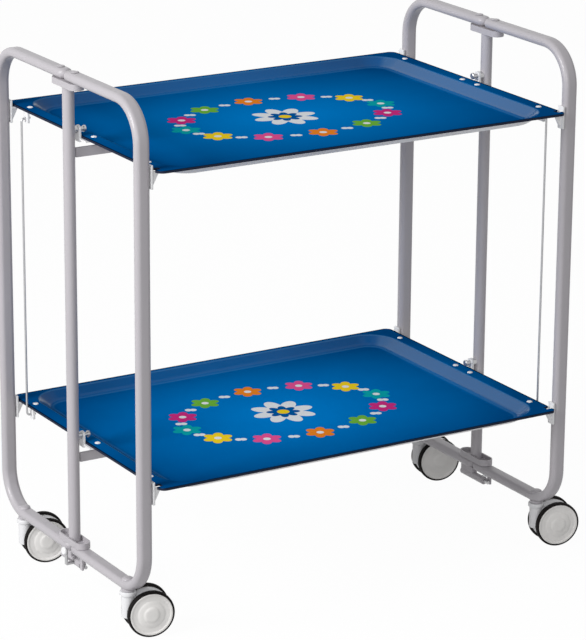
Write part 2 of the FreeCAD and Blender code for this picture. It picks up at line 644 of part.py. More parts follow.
def make_caster_housing(side_name, end_name):
    """The hood: a boss round the stem and a fender between the wheels."""
    side = SIDES[side_name]
    end = ENDS[end_name]

    def at(along, across, z):
        return caster_point(side, end, along, across, z)

    half = HOUSING_HALF_WIDTH
    boss = rod(HOUSING_BOSS_RADIUS, at(0, 0, HOUSING_FLOOR_Z), at(0, 0, HOUSING_TOP_Z))
    flare = rod(HOUSING_FLARE_RADIUS, at(0, 0, HOUSING_FLARE_Z), at(0, 0, HOUSING_TOP_Z))
    fender = rod(HOUSING_RADIUS, at(CASTER_TRAIL, -half, WHEEL_RADIUS), at(CASTER_TRAIL, half, WHEEL_RADIUS))
    web_corners = [at(0, -half, HOUSING_FLOOR_Z), at(CASTER_TRAIL, -half, HOUSING_FLOOR_Z)]
    web_corners += [at(CASTER_TRAIL, half, HOUSING_FLOOR_Z), at(0, half, HOUSING_FLOOR_Z)]
    web = Part.Face(Part.makePolygon(web_corners + web_corners[:1])).extrude(
        vec(0, 0, HOUSING_FLARE_Z - HOUSING_FLOOR_Z)
    )
    spacer_end = WHEEL_INNER_B - WHEEL_PLAY
    spacer_start = at(CASTER_TRAIL, -spacer_end, WHEEL_RADIUS)
    spacer_stop = at(CASTER_TRAIL, spacer_end, WHEEL_RADIUS)
    housing = fuse([boss, flare, fender, web, rod(SPACER_RADIUS, spacer_start, spacer_stop)])
    low = rod(2 * HOUSING_RADIUS, at(CASTER_TRAIL, 0, -OVERRUN), at(CASTER_TRAIL, 0, HOUSING_CUT_Z))
    socket_low = at(0, 0, STEM_END_Z - SOCKET_PLAY)
    socket = rod(STEM_RADIUS + RUNNING_FIT, socket_low, at(0, 0, HOUSING_TOP_Z + OVERRUN))
    bore = rod(AXLE_RADIUS, spacer_start, spacer_stop)
    save(end_name + "_" + side_name + "_caster_housing", [housing.cut(low).cut(socket).cut(bore)])


def make_caster_axle(side_name, end_name):
    side = SIDES[side_name]
    end = ENDS[end_name]
    start = caster_point(side, end, CASTER_TRAIL, -AXLE_HALF_LENGTH, WHEEL_RADIUS)
    stop = caster_point(side, end, CASTER_TRAIL, AXLE_HALF_LENGTH, WHEEL_RADIUS)
    save(end_name + "_" + side_name + "_caster_axle", [rod(AXLE_RADIUS, start, stop)])


def turned(side, end, face, outline):
    """A wheel part: an outline of radius and distance across, spun about the axle."""
    centre = caster_point(side, end, CASTER_TRAIL, 0, WHEEL_RADIUS)
    points = [centre + ROLL * radius + AXLE * (face * across) for radius, across in outline]
    polygon = Part.Face(Part.makePolygon(points + points[:1]))
    return polygon.revolve(centre, AXLE, 360)


def make_wheel(side_name, end_name, face_name, face):
    side = SIDES[side_name]
    end = ENDS[end_name]
    rim = WHEEL_RADIUS - TYRE_THICK
    bore = AXLE_RADIUS + RUNNING_FIT
    outer = WHEEL_OUTER_B
    back = WHEEL_INNER_B + HUB_BACK_INSET
    dish_floor = outer - HUB_DISH_DEPTH
    dome = outer + HUB_DOME_RISE
    hub_outline = [
        (bore, WHEEL_INNER_B),
        (HUB_COLLAR_RADIUS, WHEEL_INNER_B),
        (HUB_COLLAR_RADIUS, back),
        (rim, back),
        (rim, outer),
        (rim - TYRE_EDGE, outer),
        (rim - 2 * TYRE_EDGE, dish_floor),
        (HUB_DOME_RADIUS + TYRE_EDGE, dish_floor),
        (HUB_DOME_RADIUS, outer),
        (HUB_DOME_RADIUS / 2, dome),
        (0, dome),
        (0, HUB_BORE_END),
        (bore, HUB_BORE_END),
    ]
    tyre_outline = [
        (rim, WHEEL_INNER_B),
        (WHEEL_RADIUS - TYRE_EDGE, WHEEL_INNER_B),
        (WHEEL_RADIUS, WHEEL_INNER_B + TYRE_EDGE),
        (WHEEL_RADIUS, outer - TYRE_EDGE),
        (WHEEL_RADIUS - TYRE_EDGE, outer),
        (rim, outer),
    ]
    prefix = end_name + "_" + side_name + "_" + face_name
    save(prefix + "_hub", [turned(side, end, face, hub_outline)])
    save(prefix + "_tyre", [turned(side, end, face, tyre_outline)])


make_hinge_pins()
make_tray_pins()
for side_name in SIDES:
    make_post(side_name)
    make_brackets(side_name)
    make_link_wire(side_name)
    make_latch_guide(side_name)
    make_latch_bolt(side_name)
    make_latch_knob(side_name)
    for end_name in ENDS:
        make_half_frame(side_name, end_name)
        make_tray_clips(side_name, end_name)
        make_caster_stem(side_name, end_name)
        make_caster_housing(side_name, end_name)
        make_caster_axle(side_name, end_name)
        make_wheel(side_name, end_name, "outer", -1)
        make_wheel(side_name, end_name, "inner", 1)
for tray_name in TRAYS:
    make_tray(tray_name)
    make_tray_carrier(tray_name)
    make_tray_brackets(tray_name)
    make_rivets(tray_name)
for node, count, volume in written:
    print(node, count, volume)
print("nodes", len(written), "shift", round(MIDDLE_SHIFT.x, 4))
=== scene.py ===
import math
from functools import partialmethod

import bmesh
import bpy
from bpy.props import FloatProperty, FloatVectorProperty, IntProperty, PointerProperty
from mathutils import Matrix, Vector


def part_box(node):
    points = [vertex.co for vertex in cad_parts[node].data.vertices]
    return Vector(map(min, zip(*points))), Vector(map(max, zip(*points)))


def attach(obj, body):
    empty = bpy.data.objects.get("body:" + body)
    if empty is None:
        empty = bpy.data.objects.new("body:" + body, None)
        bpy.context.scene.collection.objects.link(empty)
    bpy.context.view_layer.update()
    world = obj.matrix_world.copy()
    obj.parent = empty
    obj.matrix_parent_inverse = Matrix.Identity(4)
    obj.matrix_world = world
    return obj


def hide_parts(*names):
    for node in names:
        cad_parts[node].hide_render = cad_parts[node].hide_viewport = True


bl_info = {
    "name": "Folding Kitchen Cart",
    "version": (1, 0, 0),
    "blender": (4, 5, 0),
    "location": "3D View > Sidebar > Kitchen Cart",
    "description": "Builds the dressed pieces of a two-tray folding serving cart around its solid model",
    "category": "Object",
}

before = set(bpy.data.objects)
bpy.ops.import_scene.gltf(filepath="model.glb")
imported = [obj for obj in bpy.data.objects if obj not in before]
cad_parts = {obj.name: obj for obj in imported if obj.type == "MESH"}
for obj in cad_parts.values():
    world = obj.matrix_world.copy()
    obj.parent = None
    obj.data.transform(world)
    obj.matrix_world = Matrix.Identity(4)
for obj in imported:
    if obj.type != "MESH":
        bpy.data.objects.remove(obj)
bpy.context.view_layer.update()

SIDES = {"left": -1, "right": 1}
ENDS = {"front": -1, "rear": 1}
TRAY_NAMES = ("upper", "lower")
UP = Vector((0, 0, 1))


def middle_of(node):
    """The centre of a solid's box."""
    low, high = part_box(node)
    return (low + high) / 2


def half_size(node):
    """Half the length, depth and height of a solid's box."""
    low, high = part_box(node)
    return (high - low) / 2


def corners():
    """Each quarter of the cart: its name, the sign of its side and the sign of its end."""
    for side_name, side in SIDES.items():
        for end_name, end in ENDS.items():
            yield end_name + "_" + side_name, side, end


# The posts' mid plane lies to one side of the origin, because the casters all trail one way.
MID_X = (middle_of("left_post").x + middle_of("right_post").x) / 2
POST_X = middle_of("right_post").x - MID_X


# Sizes and colours; the panel labels each one by its own name

def length(note, value):
    return FloatProperty(description=note, default=value, min=0.0, max=1.0, unit="LENGTH", precision=5)


def colour(note, value):
    return FloatVectorProperty(description=note, default=value, size=3, min=0.0, max=1.0, subtype="COLOR")


def angle(note, value):
    return FloatProperty(description=note, default=value, subtype="ANGLE")


def strength(note, value):
    return FloatProperty(description=note, default=value, min=0.0)


class CartFrameSizes(bpy.types.PropertyGroup):
    """Sizes of the looped side frames"""

    tube_width: length("Width of the flat-oval tube across the cart", 0.021)
    tube_depth: length("Depth of the tube in the plane of the loop", 0.013)
    bend_radius: length("Radius of the loop's corners at the centre line", 0.052)
    seam: length("Half the gap between the two halves of a loop", 0.0005)
    edge: length("Rounding of stamped edges", 0.0005)
    pin_radius: length("Radius of a hinge pin", 0.0039)
    pin_head: length("Radius of a hinge pin's head", 0.0055)
    pin_head_height: length("Height of a hinge pin's head", 0.001)
    top_pin: length("Length of an upper hinge pin between its heads", 0.0161)
    foot_pin: length("Length of a lower hinge pin under its head", 0.01575)
    pivot_head: length("Distance of a tray pivot's inner end from the middle", 0.3009)
    keeper_inset: length("Distance of a latch keeper from the post's axis", 0.0028)
    keeper_thick: length("Thickness of a latch keeper", 0.003)
    keeper_front: length("Distance of a keeper's front from the posts' plane", 0.032)
    keeper_rear: length("Distance of a keeper's back from the posts' plane", 0.025)


class CartTraySizes(bpy.types.PropertyGroup):
    """Sizes of the trays"""

    sheet: length("Thickness of the tray", 0.003)
    corner: length("Radius of the tray's corners", 0.010)
    short_rim: length("Width of the flat rim at each short side", 0.020)
    long_rim: length("Width of the flat rim at each long side", 0.006)
    dish_depth: length("Depth of the tray's hollow", 0.013)
    dish_slope: length("Width of the sloping wall", 0.018)
    dish_corner: length("Radius of the hollow's corners at the rim", 0.045)
    slot_front: length("Distance of a corner slot's front end from the middle", 0.2035)
    slot_rear: length("Distance of a corner slot's rear end from the middle", 0.1942)
    slot_depth: length("Depth of a corner slot", 0.0088)
    rivet_radius: length("Radius of a rivet's head", 0.004)
    rivet_near: length("Distance of the middle rivets from the posts' plane", 0.0183)
    wreath_long: length("Half the length of the printed wreath", 0.152)
    wreath_short: length("Half the depth of the printed wreath", 0.098)
    rosettes: IntProperty(description="Flowers in the printed wreath", default=12, min=6, max=24)


class CartCasterSizes(bpy.types.PropertyGroup):
    """Sizes of the casters"""

    wheel_radius: length("Radius of a wheel with its tyre", 0.032)
    wheel_inner: length("Distance of a wheel's inner face from the middle", 0.0095)
    wheel_width: length("Width of one wheel", 0.009)
    tyre: length("Thickness of the tyre's ring", 0.003)
    hood_radius: length("Radius of the fender between the wheels", 0.0295)


class CartColours(bpy.types.PropertyGroup):
    """Colours of the finishes"""

    frame_paint: colour("Satin paint on the tubes", (0.44, 0.42, 0.445))
    tray_centre: colour("Blue at the middle of a tray", (0.000, 0.215, 0.650))
    tray_edge: colour("Blue towards the rim", (0.000, 0.068, 0.240))
    tray_back: colour("Underside of a tray", (0.80, 0.80, 0.81))
    tray_cut: colour("Dark cut edge of a tray's sheet", (0.010, 0.014, 0.030))
    white_paint: colour("Ears, lugs and rivets", (0.82, 0.82, 0.83))
    clip_plastic: colour("Clips and knobs", (0.84, 0.84, 0.85))
    hub_plastic: colour("Wheel hubs", (0.80, 0.785, 0.765))
    housing_plastic: colour("Caster hoods", (0.76, 0.76, 0.775))
    tyre_rubber: colour("Tyres", (0.005, 0.004, 0.004))
    steel: colour("Pins, wires and axles", (0.50, 0.50, 0.51))


class CartStage(bpy.types.PropertyGroup):
    """Camera and light"""

    eye: FloatVectorProperty(
        description="Place of the camera", default=(-2.1481, -3.5553, 1.6503), unit="LENGTH"
    )
    turn: angle("Heading of the camera", 0.5424)
    tip: angle("Downward angle of the camera", 0.3061)
    roll: angle("Roll of the camera", 0.0072)
    focal: strength("Focal length in pixels of the photograph", 3175.1)
    key_power: strength("Power of the main lamp", 145.0)
    fill_power: strength("Power of the lamp in front", 52.0)
    sky: strength("Strength of the light from all round", 0.33)


# Materials

class Signal:
    """One socket of a material on its way to the next: arithmetic with it adds Math nodes."""

    def __init__(self, tree, socket):
        self.tree = tree
        self.socket = socket

    def maths(self, operation, *others):
        return self.tree.maths(operation, self, *others)

    def __rsub__(self, other):
        return self.tree.maths("SUBTRACT", other, self)

    __add__ = __radd__ = partialmethod(maths, "ADD")
    __sub__ = partialmethod(maths, "SUBTRACT")
    __mul__ = __rmul__ = partialmethod(maths, "MULTIPLY")
    __truediv__ = partialmethod(maths, "DIVIDE")
    __mod__ = partialmethod(maths, "FLOORED_MODULO")
    __abs__ = partialmethod(maths, "ABSOLUTE")


def distance(a, b):
    return (a * a + b * b).maths("SQRT")


def clamp(value):
    return value.maths("MINIMUM", 1.0).maths("MAXIMUM", 0.0)


class Tree:
    """The nodes of a material or of the world."""

    def __init__(self, owner):
        owner.use_nodes = True
        self.tree = owner.node_tree
        self.tree.nodes.clear()

    def node(self, kind, settings=None, inputs=None, output=0):
        """Any node: its settings are set first, then the values or links of its sockets."""
        made = self.tree.nodes.new(kind)
        for key, value in (settings or {}).items():
            setattr(made, key, value)
        for key, value in (inputs or {}).items():
            self.feed(made.inputs[key], value)
        return Signal(self, made.outputs[output]) if made.outputs else None

    def feed(self, socket, value):
        if isinstance(value, Signal):
            self.tree.links.new(value.socket, socket)
        else:
            socket.default_value = value

    def maths(self, operation, *values):
        return self.node("ShaderNodeMath", {"operation": operation}, dict(enumerate(values)))


class Finish(Tree):
    """A material with one principled shader, built up socket by socket."""

    def __init__(self, name):
        self.material = bpy.data.materials.new(name)
        super().__init__(self.material)
        self.shader = self.tree.nodes.new("ShaderNodeBsdfPrincipled")
        self.node("ShaderNodeOutputMaterial", inputs={"Surface": Signal(self, self.shader.outputs["BSDF"])})

    def set(self, **values):
        """Sets or links the shader's own sockets; an underscore stands for a space."""
        for key, value in values.items():
            self.feed(self.shader.inputs[key.replace("_", " ")], value)

    def point(self):
        """The place on the piece."""
        return self.node("ShaderNodeTexCoord", output="Object")

    def grain(self, scale, detail=2.0, roughness=0.5, at=None):
        """Soft noise over the piece, from 0 to 1."""
        sockets = {"Vector": at or self.point(), "Scale": scale, "Detail": detail, "Roughness": roughness}
        return self.node("ShaderNodeTexNoise", inputs=sockets)

    def blend(self, share, first, second):
        """A colour between two others. Sockets 6 and 7, and output 2, are those for colours."""
        return self.node("ShaderNodeMix", {"data_type": "RGBA"}, {0: share, 6: first, 7: second}, 2)

    def steps(self, share, tints):
        """A ramp that jumps from tint to tint."""
        made = self.node("ShaderNodeValToRGB", inputs={0: share})
        ramp = made.socket.node.color_ramp
        ramp.interpolation = "CONSTANT"
        while len(ramp.elements) < len(tints):
            ramp.elements.new(0.5)
        for index, (element, tint) in enumerate(zip(ramp.elements, tints)):
            element.position = index / len(tints) + (STEP_SETBACK if index else 0.0)
            element.color = tint
        return made

    def bump(self, height, strength, depth):
        sockets = {"Height": height, "Strength": strength, "Distance": depth}
        self.set(Normal=self.node("ShaderNodeBump", inputs=sockets))


def rgba(tint, share=1.0):
    return (tint[0] * share, tint[1] * share, tint[2] * share, 1.0)


def mottled(name, tint, noise, darkest, lightest):
    """A finish whose colour drifts with noise; the noise comes back with it."""
    finish = Finish(name)
    drift = finish.grain(*noise)
    finish.set(Base_Color=finish.blend(drift, rgba(tint, darkest), rgba(tint, lightest)))
    return finish, drift


def paint_finish(name, tint, roughness=0.38):
    """Sprayed enamel: faint colour drift, a satin face and fine orange peel."""
    finish, _ = mottled(name, tint, (9.0, 3.0), 0.95, 1.05)
    finish.set(Roughness=roughness + 0.08 * finish.grain(60.0, 3.0), Coat_Weight=0.15)
    finish.bump(finish.grain(900.0), 0.04, 0.0004)
    return finish.material


def plastic_finish(name, tint, roughness, blotch, scale=40.0):
    """Moulded plastic: slight flow marks in the colour and a fine matt texture."""
    finish, _ = mottled(name, tint, (scale, 2.0, 0.6), 1 - blotch, 1 + blotch)
    finish.set(Roughness=roughness + 0.1 * finish.grain(150.0))
    finish.bump(finish.grain(1400.0), 0.05, 0.0003)
    return finish.material


def steel_finish(name, tint):
    """Plated steel with fine drawn lines."""
    finish, haze = mottled(name, tint, (120.0, 4.0), 0.88, 1.1)
    finish.set(Metallic=0.85, Roughness=0.28 + 0.16 * haze)
    finish.bump(finish.grain(1600.0, 3.0), 0.05, 0.0002)
    return finish.material


def rubber_finish(name, tint):
    """Dull rubber with dust in its pores."""
    finish, dust = mottled(name, tint, (300.0, 4.0, 0.7), 0.8, 1.9)
    finish.set(Roughness=0.62 + 0.15 * dust, Specular_IOR_Level=0.12)
    finish.bump(dust, 0.12, 0.0003)
    return finish.material


def tray_back_finish(name, tint):
    """White enamel on the underside, with a few faint rub marks."""
    finish, rub = mottled(name, tint, (18.0, 5.0, 0.7), 0.94, 1.03)
    finish.set(Roughness=0.35 + 0.12 * rub)
    finish.bump(finish.grain(500.0), 0.04, 0.0003)
    return finish.material


# The print, and the painted reflection and highlights on the dish's wall. A flower has a radius, a number of
# petals, the share that they are cut in, and a turn.
ROSETTE_TINTS = (
    (0.004, 0.38, 0.42, 1.0),
    (0.92, 0.66, 0.02, 1.0),
    (0.80, 0.09, 0.30, 1.0),
    (0.86, 0.24, 0.02, 1.0),
    (0.16, 0.46, 0.05, 1.0),
    (0.62, 0.03, 0.22, 1.0),
)
YELLOW = ROSETTE_TINTS[1]
PRINT_WHITE = (0.80, 0.83, 0.86, 1.0)
# Painted reflection: the colour of the sheen on the dish's wall
PAINTED_WALL_SHEEN = (0.020, 0.110, 0.270, 1.0)
# Painted highlight along the bends at the mouth and the foot of the dish's wall
PAINTED_FOLD_HIGHLIGHT = (0.10, 0.28, 0.50, 1.0)
RIM_LINE = (0.0, 0.012, 0.040, 1.0)
LEAF = (0.0085, 2, 0.55, 0.4)
ROSETTE = (0.0215, 6, 0.34, 0.0)
WHITE_FLOWER = (0.046, 8, 0.40, 0.0)
BLUE_FLOWER = (0.024, 8, 0.35, math.pi / 8)
ROSETTE_EYE = 0.0055
FLOWER_EYE = 0.009
PRINT_SOFTNESS = 0.0008
STEP_SETBACK = 0.001
STEP_LEAD = 0.01
GROUND_LONG = 0.31
GROUND_SHORT = 0.215
GROUND_GAIN = 0.95
GROUND_START = 0.12
GROUND_CLOUD = 0.30
# How much painted reflection the long and the short walls get; the same share sets their coat
WALL_SHEEN_LONG = 0.25
WALL_SHEEN_SHORT = 0.70
FOLD_SOFTNESS = 0.002
# The painted highlights at the mouth and the foot of the wall: strength, width and place
MOUTH_SHARE = 0.35
MOUTH_WIDTH = 0.0016
MOUTH_PLACE = 0.0005
FOOT_SHARE = 0.22
FOOT_WIDTH = 0.003
FOOT_PLACE = 0.002
RIM_LINE_WIDTH = 0.0028
RIM_LINE_SOFTNESS = 0.0010
MITRE_SOFTNESS = 0.012


def petals(across, along, radius, count, depth, turn):
    """A flower's mask: 1 inside its petals, with a soft edge."""
    wave = ((along.maths("ARCTAN2", across) + turn) * (count / 2)).maths("COSINE")
    edge = radius * (1 - depth + depth * abs(wave))
    return clamp((edge - distance(across, along)) / PRINT_SOFTNESS)


def disc(across, along, radius):
    return clamp((radius - distance(across, along)) / PRINT_SOFTNESS)


def print_wreath(finish, x, y, sizes, ground):
    """Rosettes in six tints round an oval, with a pair of small leaves between each two."""
    step = math.tau / sizes.rosettes
    turns = (y / sizes.wreath_short).maths("ARCTAN2", x / sizes.wreath_long) / step

    def seen_from(place):
        across = x - sizes.wreath_long * place.maths("COSINE")
        return across, y - sizes.wreath_short * place.maths("SINE")

    number = (turns + 0.5).maths("FLOOR")
    leaf_at = seen_from(turns.maths("FLOOR") * step + step / 2)
    rosette_at = seen_from(number * step)
    tints = len(ROSETTE_TINTS)
    ramp = finish.steps((number % tints) / tints + STEP_LEAD, ROSETTE_TINTS)
    shown = finish.blend(petals(*leaf_at, *LEAF), ground, PRINT_WHITE)
    shown = finish.blend(petals(*rosette_at, *ROSETTE), shown, ramp)
    return finish.blend(disc(*rosette_at, ROSETTE_EYE), shown, PRINT_WHITE)


def print_flower(finish, x, y, ground, blue):
    """A white flower in the middle, with a blue one and a yellow eye in it."""
    shown = finish.blend(petals(x, y, *WHITE_FLOWER), ground, PRINT_WHITE)
    shown = finish.blend(petals(x, y, *BLUE_FLOWER), shown, blue)
    return finish.blend(disc(x, y, FLOWER_EYE), shown, YELLOW)


def shade_dish(finish, x, y, sizes, ground):
    """A paler painted reflection on the dish's wall, stronger on the short walls, painted highlights along
    the bends at its mouth and foot, and the dark line round the rim.
    """
    half = half_size("upper_tray")
    side_x = abs(x) - (half.x - sizes.short_rim - sizes.dish_corner)
    side_y = abs(y) - (half.y - sizes.long_rim - sizes.dish_corner)
    round_part = distance(side_x.maths("MAXIMUM", 0.0), side_y.maths("MAXIMUM", 0.0))
    straight_part = side_x.maths("MAXIMUM", side_y).maths("MINIMUM", 0.0)
    inside = sizes.dish_corner - round_part - straight_part
    wall = clamp(inside / FOLD_SOFTNESS) * clamp((sizes.dish_slope - inside) / FOLD_SOFTNESS)
    short_side = clamp((side_x - side_y) / MITRE_SOFTNESS)
    # Painted reflection on the wall, stronger on the short walls; the same mask sets the coat
    sheen = (WALL_SHEEN_LONG + (WALL_SHEEN_SHORT - WALL_SHEEN_LONG) * short_side) * wall
    # Painted highlights along the bends at the dish's mouth and foot
    mouth = clamp(1 - abs(inside - MOUTH_PLACE) / MOUTH_WIDTH)
    foot = clamp(1 - abs(inside - sizes.dish_slope - FOOT_PLACE) / FOOT_WIDTH)
    to_edge = (half.x - abs(x)).maths("MINIMUM", half.y - abs(y))
    shown = finish.blend(sheen, ground, PAINTED_WALL_SHEEN)
    shown = finish.blend(MOUTH_SHARE * mouth, shown, PAINTED_FOLD_HIGHLIGHT)
    shown = finish.blend(FOOT_SHARE * foot, shown, PAINTED_FOLD_HIGHLIGHT)
    shown = finish.blend(clamp((RIM_LINE_WIDTH - to_edge) / RIM_LINE_SOFTNESS), shown, RIM_LINE)
    return shown, sheen


def tray_print_and_sheen_finish(name, tint):
    """Printed face: a blue that darkens to the rim, a wreath round a white flower, and a glossy wall with a
    painted reflection and painted highlights on it.
    """
    colours = bpy.context.scene.cart_colours
    sizes = bpy.context.scene.cart_tray_sizes
    finish = Finish(name)
    point = finish.point()
    parts = finish.node("ShaderNodeSeparateXYZ", inputs={0: point}).socket.node.outputs
    x = Signal(finish, parts[0]) - MID_X
    y = Signal(finish, parts[1])
    cloud = finish.grain(6.0, 3.0, 0.55, point)
    reach = distance(x / GROUND_LONG, y / GROUND_SHORT)
    shade = clamp(reach * GROUND_GAIN - GROUND_START + (cloud - 0.5) * GROUND_CLOUD)
    shown = finish.blend(shade, rgba(tint), rgba(colours.tray_edge))
    shown = print_wreath(finish, x, y, sizes, shown)
    shown = print_flower(finish, x, y, shown, rgba(colours.tray_edge, 1.5))
    shown, sheen = shade_dish(finish, x, y, sizes, shown)
    # The base colour holds the print, with the painted reflection and painted highlights on the wall
    finish.set(Base_Color=shown, Roughness=0.34 + 0.10 * finish.grain(25.0, 3.0), Specular_IOR_Level=0.0)
    finish.set(Coat_Weight=sheen, Coat_Roughness=0.14)
    finish.bump(finish.grain(380.0), 0.01, 0.0002)
    return finish.material


# Slot: maker, name, colour, and what else the maker takes
MAKERS = {
    "frame_paint": (paint_finish, "frame_satin_paint", "frame_paint"),
    "carrier_paint": (paint_finish, "carrier_paint", "frame_paint", 0.42),
    "white_paint": (paint_finish, "white_bracket_paint", "white_paint", 0.34),
    "pin_steel": (steel_finish, "plated_pin_steel", "steel"),
    "wire_steel": (steel_finish, "drawn_wire_steel", "steel"),
    "tray_finish": (tray_print_and_sheen_finish, "printed_tray_face", "tray_centre"),
    "tray_back": (tray_back_finish, "white_tray_back", "tray_back"),
    "tray_edge": (rubber_finish, "dark_tray_edge", "tray_cut"),
    "clip_plastic": (plastic_finish, "white_clip_plastic", "clip_plastic", 0.40, 0.03),
    "housing_plastic": (plastic_finish, "caster_hood_plastic", "housing_plastic", 0.38, 0.04),
    "hub_plastic": (plastic_finish, "wheel_hub_plastic", "hub_plastic", 0.30, 0.10, 55.0),
    "tyre_rubber": (rubber_finish, "tyre_rubber", "tyre_rubber"),
}
FINISHES = {}


def finish_for(slot_name):
    """The material of a slot of the record, made once."""
    if slot_name not in FINISHES:
        make, name, tint, *more = MAKERS[slot_name]
        FINISHES[slot_name] = make(name, getattr(bpy.context.scene.cart_colours, tint), *more)
    return FINISHES[slot_name]


# Mesh work

WELD = 1e-6
PINCH = 1e-7
MOST_OF_A_SIDE = 0.45


def piece(name, mesh_work, slot_name, body, nodes=(), extra_finishes=(), crease=35.0):
    """Turns finished mesh work into a piece of the cart that rides on its body."""
    mesh = bpy.data.meshes.new(name)
    bmesh.ops.recalc_face_normals(mesh_work, faces=mesh_work.faces)
    mesh_work.to_mesh(mesh)
    mesh_work.free()
    mesh.shade_smooth()
    mesh.set_sharp_from_angle(angle=math.radians(crease))
    made = bpy.data.objects.new(name, mesh)
    bpy.context.scene.collection.objects.link(made)
    for finish_name in (slot_name, *extra_finishes):
        mesh.materials.append(finish_for(finish_name))
    made.modifiers.new("flat_faces", "WEIGHTED_NORMAL").keep_sharp = True
    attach(made, body)
    if nodes:
        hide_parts(*nodes)


def arc(start, stop, steps):
    """Evenly spread angles from start to stop in degrees, both included; they come back in radians."""
    return [math.radians(start + (stop - start) * index / steps) for index in range(steps + 1)]


def curve(start, corner, stop, steps):
    """Points of a bend that leans towards a corner."""
    shares = [index / steps for index in range(steps + 1)]
    return [start * (1 - t) ** 2 + corner * (2 * t * (1 - t)) + stop * t ** 2 for t in shares]


def ring_of(work, points):
    return [work.verts.new(point) for point in points]


def circle(work, middle, side, up, radius, steps):
    angles = [math.tau * index / steps for index in range(steps)]
    return ring_of(work, [middle + (side * math.cos(a) + up * math.sin(a)) * radius for a in angles])


def bridge(work, first, second):
    """Faces between two rings with the same number of points."""
    made = []
    for index in range(len(first)):
        following = (index + 1) % len(first)
        made.append(work.faces.new((first[index], first[following], second[following], second[index])))
    return made


def skin(work, rings, closed=False):
    """Faces along a row of rings, and over its two ends where it is closed."""
    for first, second in zip(rings, rings[1:]):
        bridge(work, first, second)
    if closed:
        work.faces.new(rings[0])
        work.faces.new(rings[-1])


def basis(axis):
    """Two directions square to an axis."""
    side = axis.cross(UP)
    if side.length < 0.1:
        side = axis.cross(Vector((0, 1, 0)))
    side.normalize()
    return side, axis.cross(side)


def turn_profile(work, profile, centre, axis, steps):
    """Spins an outline of radius and distance along the axis; a radius of nothing closes it."""
    side, up = basis(axis)
    rings = []
    for radius, along in profile:
        middle = centre + axis * along
        if radius < PINCH:
            rings.append([work.verts.new(middle)])
        else:
            rings.append(circle(work, middle, side, up, radius, steps))
    for first, second in zip(rings, rings[1:]):
        if len(first) == len(second) > 1:
            bridge(work, first, second)
        elif len(first) != len(second):
            tip, ring = (first[0], second) if len(first) == 1 else (second[0], first)
            for index in range(len(ring)):
                work.faces.new((tip, ring[index], ring[(index + 1) % len(ring)]))


def round_profile(points, radius, steps=4):
    """Rounds the inner corners of an open outline in two dimensions."""
    rounded = [points[0]]
    for before, corner, after in zip(points, points[1:], points[2:]):
        here = Vector(corner)
        back = Vector(before) - here
        ahead = Vector(after) - here
        reach = min(radius, back.length * MOST_OF_A_SIDE, ahead.length * MOST_OF_A_SIDE)
        bend = curve(here + back.normalized() * reach, here, here + ahead.normalized() * reach, steps)
        rounded += [tuple(spot) for spot in bend]
    return rounded + [points[-1]]


def turned_piece(name, outline, centre, axis, steps, *placing, **more):
    """A piece that is one outline spun round an axis."""
    work = bmesh.new()
    turn_profile(work, outline, centre, axis, steps)
    piece(name, work, *placing, **more)


def soft_piece(name, node, width, slot_name, body):
    """A piece that is a solid's own mesh, with its facets joined and its edges rounded."""
    work = bmesh.new()
    work.from_mesh(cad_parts[node].data)
    bmesh.ops.remove_doubles(work, verts=work.verts, dist=2 * WELD)
    bmesh.ops.dissolve_limit(work, angle_limit=math.radians(1.0), verts=work.verts, edges=work.edges)
    sharp = math.radians(50)
    edges = [edge for edge in work.edges if len(edge.link_faces) == 2 and edge.calc_face_angle() > sharp]
    bmesh.ops.bevel(
        work, geom=edges, offset=width, segments=2, profile=0.6, affect="EDGES", clamp_overlap=True
    )
    piece(name, work, slot_name, body, [node])


def block(low, high, rounding):
    """A box with rounded edges between two opposite corners."""
    work = bmesh.new()
    made = bmesh.ops.create_cube(work, size=1.0)["verts"]
    size = Vector(high) - Vector(low)
    bmesh.ops.scale(work, vec=[abs(part) for part in size], verts=made)
    bmesh.ops.translate(work, vec=(Vector(high) + Vector(low)) / 2, verts=made)
    edges = {edge for vert in made for edge in vert.link_edges}
    bmesh.ops.bevel(work, geom=list(edges), offset=rounding, segments=2, profile=0.6, affect="EDGES")
    return work


# Side frames

def oval_outline(width, depth, steps=10):
    """The tube's section: across the cart and outward from the loop."""
    radius = depth / 2
    half = width / 2 - radius
    points = []
    for centre, start in ((half, -90), (-half, 90)):
        for a in arc(start, start + 180, steps):
            points.append((centre + radius * math.cos(a), radius * math.sin(a)))
    return points


def loop_stations(sign, start, reach, top, foot, radius, steps):
    """Stations round half a loop: each a place in the loop's plane and the direction out of the loop."""
    bend = sign * (reach - radius)
    stations = [((sign * start, top), (0.0, 1.0)), ((bend, top), (0.0, 1.0))]
    for z, angles in ((top - radius, arc(90, 0, steps)[1:]), (foot + radius, arc(0, -90, steps))):
        for a in angles:
            out = (sign * math.cos(a), math.sin(a))
            stations.append(((bend + radius * out[0], z + radius * out[1]), out))
    stations.append(((sign * start, foot), (0.0, -1.0)))
    return stations


def nose_rings(work, outline, x, end, start_y, z, up, steps=8):
    """Rings that carry the tube's section round into its closed, rounded end."""
    rings = []
    for a in arc(0, 90, steps)[1:]:
        points = []
        for across, out in outline:
            y = end * (start_y - abs(across) * math.sin(a))
            points.append(Vector((x + across * math.cos(a), y, z + up * out)))
        rings.append(ring_of(work, points))
    return rings


